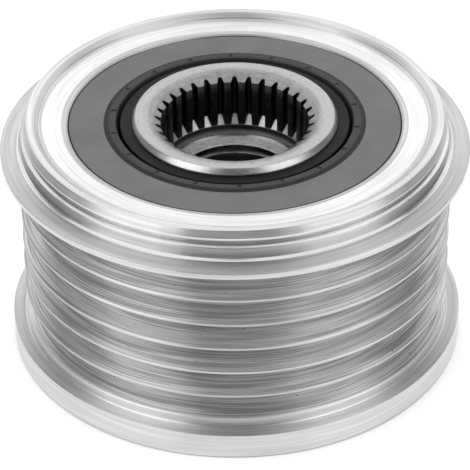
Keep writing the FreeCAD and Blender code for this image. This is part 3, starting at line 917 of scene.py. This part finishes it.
# %% [markdown]
# ## The metals inside
# The drawn ring and the rollers are hardened steel: the ring keeps a satin drawn surface, and the rollers are ground
# almost to a mirror. The leaf springs are bright rolled strip. They differ only in their greys, their gloss and the
# size of a faint mottle, so one function makes all three.

# %% Inside metals
def steel_of(name, dark, light, roughness, mottle):
    """A plain bright steel from two greys, a range of roughness and the size of its mottle in millimetres."""
    material, tree, shader = new_material(name)
    faint = patches(tree, mottle)
    set_surface(tree, shader, shade(tree, faint, dark, light), faint, roughness)
    shader.inputs["Metallic"].default_value = 1.0
    return material


ring_steel = steel_of("drawn_hardened_steel", "#a9a9a9", "#bababa", (0.28, 0.38), 1.0)
roller_steel = steel_of("ground_roller_steel", "#b4b4b4", "#c2c2c2", (0.12, 0.2), 0.6)
spring_steel = steel_of("rolled_spring_steel", "#a6a6a4", "#b8b8b6", (0.22, 0.32), 0.5)
print("metals inside:", ring_steel.name, roller_steel.name, spring_steel.name)

# %% [markdown]
# ## The plastic inside
# The cages are moulded black polyamide. The mould gives it a textured skin, drawn a little coarser than the real one,
# so its grey and gloss vary in small grains, and a relief twice as deep as the steel's breaks up the highlight.

# %% Cage material
MOULD_GRAIN = 0.3
MOULD_RELIEF = 0.02
POLYAMIDE_IOR = 1.53


def moulded_black_polyamide():
    material, tree, shader = new_material("moulded_black_polyamide")
    grain = patches(tree, MOULD_GRAIN, 2.0)
    colour = shade(tree, grain, "#1b1b1c", "#252526")
    set_surface(tree, shader, colour, grain, MATT, relief=grain, depth=MOULD_RELIEF)
    shader.inputs["IOR"].default_value = POLYAMIDE_IOR
    return material


polyamide = moulded_black_polyamide()
print(polyamide.name, "nodes:", len(polyamide.node_tree.nodes))

# %% [markdown]
# ## Who wears what
# The new pieces take their material directly. The pieces inside keep their CAD mesh, so only the material in their
# slots is changed, and a part of the name tells which one it gets.

# %% Give every piece its material
OUTSIDE_FINISH = (
    (rim, rim_steel),
    (hub, hub_steel),
    (front_seal, seal_skin),
    (rear_seal, seal_skin),
    (front_collar, collar_steel),
    (rear_collar, collar_steel),
)
for piece, material in OUTSIDE_FINISH:
    piece.data.materials.append(material)

INSIDE_FINISH = {"clutch_ring": ring_steel, "_cage": polyamide, "_roller_": roller_steel, "_spring_": spring_steel}
for name, node in nodes.items():
    for key, material in INSIDE_FINISH.items():
        if key in name:
            for slot in node.material_slots:
                slot.material = material
print("inside pieces:", sum(any(key in name for key in INSIDE_FINISH) for name in nodes))

# %% [markdown]
# ## Camera
# The photograph looks down on the pulley at about 34.5 degrees from 0.34 m. The lens comes from how much smaller the
# far edges look than the near ones, and a small shift and roll make up for a camera that didn't stand quite straight.
# The Standard view shows the greys as they are, which a filmic one would bend.

# %% Camera and view
CAMERA_PLACE = (0, -0.28305, 0.20780)
AIM = (0, 0, 0.01317)
CAMERA_ROLL = math.radians(-0.5)

camera_data = bpy.data.cameras.new("camera")
camera_data.sensor_width = 36
camera_data.lens = 204.5
camera_data.shift_x = -0.0017
camera = put_in_scene("camera", camera_data)
camera.location = CAMERA_PLACE
sight = Vector(AIM) - camera.location
camera.rotation_euler = (sight.to_track_quat("-Z", "Y") @ Quaternion((0, 0, 1), CAMERA_ROLL)).to_euler()
bpy.context.scene.camera = camera
bpy.context.scene.view_settings.view_transform = "Standard"
print("camera distance:", round(sight.length, 4), "m")

# %% [markdown]
# ## The floor
# The pulley stands on white paper, which the photograph shows as pure white with a soft shadow. Lighting a plain floor
# until it looks so would flood the part from below. So the floor mixes a share of even white into its real shading, a
# small one for the camera, so that the shadow stays, and a bigger one for reflections. It lies a hair under the part,
# so that the two faces don't fight.

# %% White paper floor
FLOOR_WHITE = 0.12
GLOSSY_FLOOR_WHITE = 0.4
FLOOR_DROP = 0.05
HALF_FLOOR_WIDTH = 3

floor_material = bpy.data.materials.new("white_paper")
tree = empty_tree(floor_material)
paper = add_node(tree, "ShaderNodeBsdfDiffuse", {"Color": linear("#f6f6f6")})
white = add_node(tree, "ShaderNodeEmission", {"Color": linear("#ffffff"), "Strength": 1.0})
rays = add_node(tree, "ShaderNodeLightPath").outputs
glossy_share = {"operation": "MULTIPLY", 1: GLOSSY_FLOOR_WHITE}
in_gloss = add_node(tree, "ShaderNodeMath", glossy_share, {0: rays["Is Glossy Ray"]})
links = {0: rays["Is Camera Ray"], 2: in_gloss.outputs[0]}
share = add_node(tree, "ShaderNodeMath", {"operation": "MULTIPLY_ADD", 1: FLOOR_WHITE}, links)
mix = add_node(tree, "ShaderNodeMixShader", {}, {0: share.outputs[0], 1: paper.outputs[0], 2: white.outputs[0]})
add_node(tree, "ShaderNodeOutputMaterial", {}, {"Surface": mix.outputs[0]})

bm = bmesh.new()
bmesh.ops.create_grid(bm, x_segments=1, y_segments=1, size=HALF_FLOOR_WIDTH)
bmesh.ops.translate(bm, verts=bm.verts[:], vec=(0, 0, -FLOOR_DROP * MM))
floor = put_in_scene("floor", mesh_of("floor", bm))
floor.data.materials.append(floor_material)
print("floor width:", 2 * HALF_FLOOR_WIDTH, "m")

# %% [markdown]
# ## The white background
# A white wall would need lamps of its own, so the world itself is white. Where the camera and the reflections see it,
# its strength is one, which is exactly white. For all other light it is a little stronger, because a white studio
# also fills the shadows from every side.

# %% White world
FILL = 1.4


def seen_directly(tree):
    """One for camera, glossy and transmission rays, and zero for the rest."""
    rays = add_node(tree, "ShaderNodeLightPath").outputs
    total = rays["Is Camera Ray"]
    for name in ("Is Glossy Ray", "Is Transmission Ray"):
        total = add_node(tree, "ShaderNodeMath", {"operation": "MAXIMUM"}, {0: total, 1: rays[name]}).outputs[0]
    return total


world = bpy.data.worlds.new("studio")
bpy.context.scene.world = world
tree = empty_tree(world)
fill = add_node(tree, "ShaderNodeBackground", {"Color": linear("#ffffff"), "Strength": FILL})
seen = add_node(tree, "ShaderNodeBackground", {"Color": linear("#ffffff"), "Strength": 1.0})
mix = add_node(tree, "ShaderNodeMixShader", {}, {0: seen_directly(tree), 1: fill.outputs[0], 2: seen.outputs[0]})
add_node(tree, "ShaderNodeOutputWorld", {}, {"Surface": mix.outputs[0]})
print("fill strength of the white studio:", FILL)

# %% [markdown]
# ## Soft boxes
# Polished metal shows the shape of its lamps, and point lamps would leave hard spots on it. So two soft boxes stand
# left and right of the camera, the left one stronger, and one hangs behind and above. Their strength is given as the
# brightness of their face.

# %% Lamps
LAMP_AIM = (0, 0, 0.015)
SOFT_BOXES = {
    "soft_box_left": ((-0.42, -0.3, 0.27), (0.36, 0.5), 0.85),
    "soft_box_right": ((0.42, -0.3, 0.27), (0.36, 0.5), 0.5),
    "soft_box_back": ((0, 0.45, 0.36), (0.4, 0.6), 0.7),
}


def soft_box(name, place, size, strength):
    """An oblong area lamp that faces the pulley. Strength is the brightness of its face, where one is white."""
    data = bpy.data.lights.new(name, "AREA")
    data.shape = "RECTANGLE"
    data.size, data.size_y = size
    data.energy = strength * math.pi * size[0] * size[1]
    lamp = put_in_scene(name, data)
    lamp.location = place
    lamp.rotation_euler = (Vector(LAMP_AIM) - Vector(place)).to_track_quat("-Z", "Y").to_euler()


for name, setting in SOFT_BOXES.items():
    soft_box(name, *setting)
print("soft boxes:", len(SOFT_BOXES))

# %% [markdown]
# ## Cards
# In an all white studio polished steel looks flat. So dark cards stand round it where the studio is dark: in front,
# where the camera is, above, behind and at both sides, with lighter cards at some edges for a soft end. A darker world
# would darken everything. They are bent round the axis, and only reflections see them.

# %% A helper that bends a card
CARD_ROUGHNESS = 0.9


def card_paper(name, grey):
    """Matt paper of one even grey."""
    material, _, shader = new_material(name)
    shader.inputs["Base Color"].default_value = linear(grey)
    shader.inputs["Roughness"].default_value = CARD_ROUGHNESS
    return material


def card(name, paper, outline, start, end, steps=12):
    """A card bent round the pulley between two directions. Zero degrees is the camera's side, plus is to the right."""
    bm = bmesh.new()
    points = [bm.verts.new((across * MM, 0, up * MM)) for across, up in outline]
    for pair in zip(points, points[1:]):
        bm.edges.new(pair)
    turn_about_axis(bm, points, start + FRONT)
    bmesh.ops.spin(
        bm,
        geom=bm.verts[:] + bm.edges[:],
        **ROUND_Z,
        dvec=(0, 0, 0),
        angle=math.radians(end - start),
        steps=steps,
    )
    piece = put_in_scene(name, mesh_of(name, bm))
    piece.data.materials.append(paper)
    piece.visible_camera = False
    piece.visible_diffuse = False
    piece.visible_shadow = False
    piece.visible_transmission = False


print("roughness of the cards:", CARD_ROUGHNESS)

# %% [markdown]
# ## Where the cards stand
# A card's outline is its distance from the axis and its height, at its lower and its upper edge. The front card is far
# off and high. The side and back cards stand close and low, so that only the walls mirror them and the face stays
# light. The greys were tried until the streaks had the photograph's brightness.

# %% Stand the cards
IN_FRONT = [(400, 2), (400, 680)]
ABOVE = [(400, 680), (60, 900)]
BEHIND = [(170, 1), (170, 80)]
BESIDE = [(170, 1), (170, 200)]

front_paper = card_paper("grey_card_front", "#4a4a4a")
side_paper = card_paper("grey_card_side", "#666666")
edge_paper = card_paper("grey_card_edge", "#989898")
above_paper = card_paper("grey_card_above", "#9c9c9c")
back_paper = card_paper("grey_card_back", "#a0a0a0")
card("card_front", front_paper, IN_FRONT, -26, 22)
card("card_front_edge", edge_paper, IN_FRONT, 22, 32, 4)
card("card_above", above_paper, ABOVE, -26, 26)
card("card_back", back_paper, BEHIND, 122, 238, 24)
card("card_left", side_paper, BESIDE, -122, -86)
card("card_left_edge", edge_paper, BESIDE, -86, -74, 4)
card("card_right", side_paper, BESIDE, 86, 122)
card("card_right_edge", edge_paper, BESIDE, 74, 86, 4)
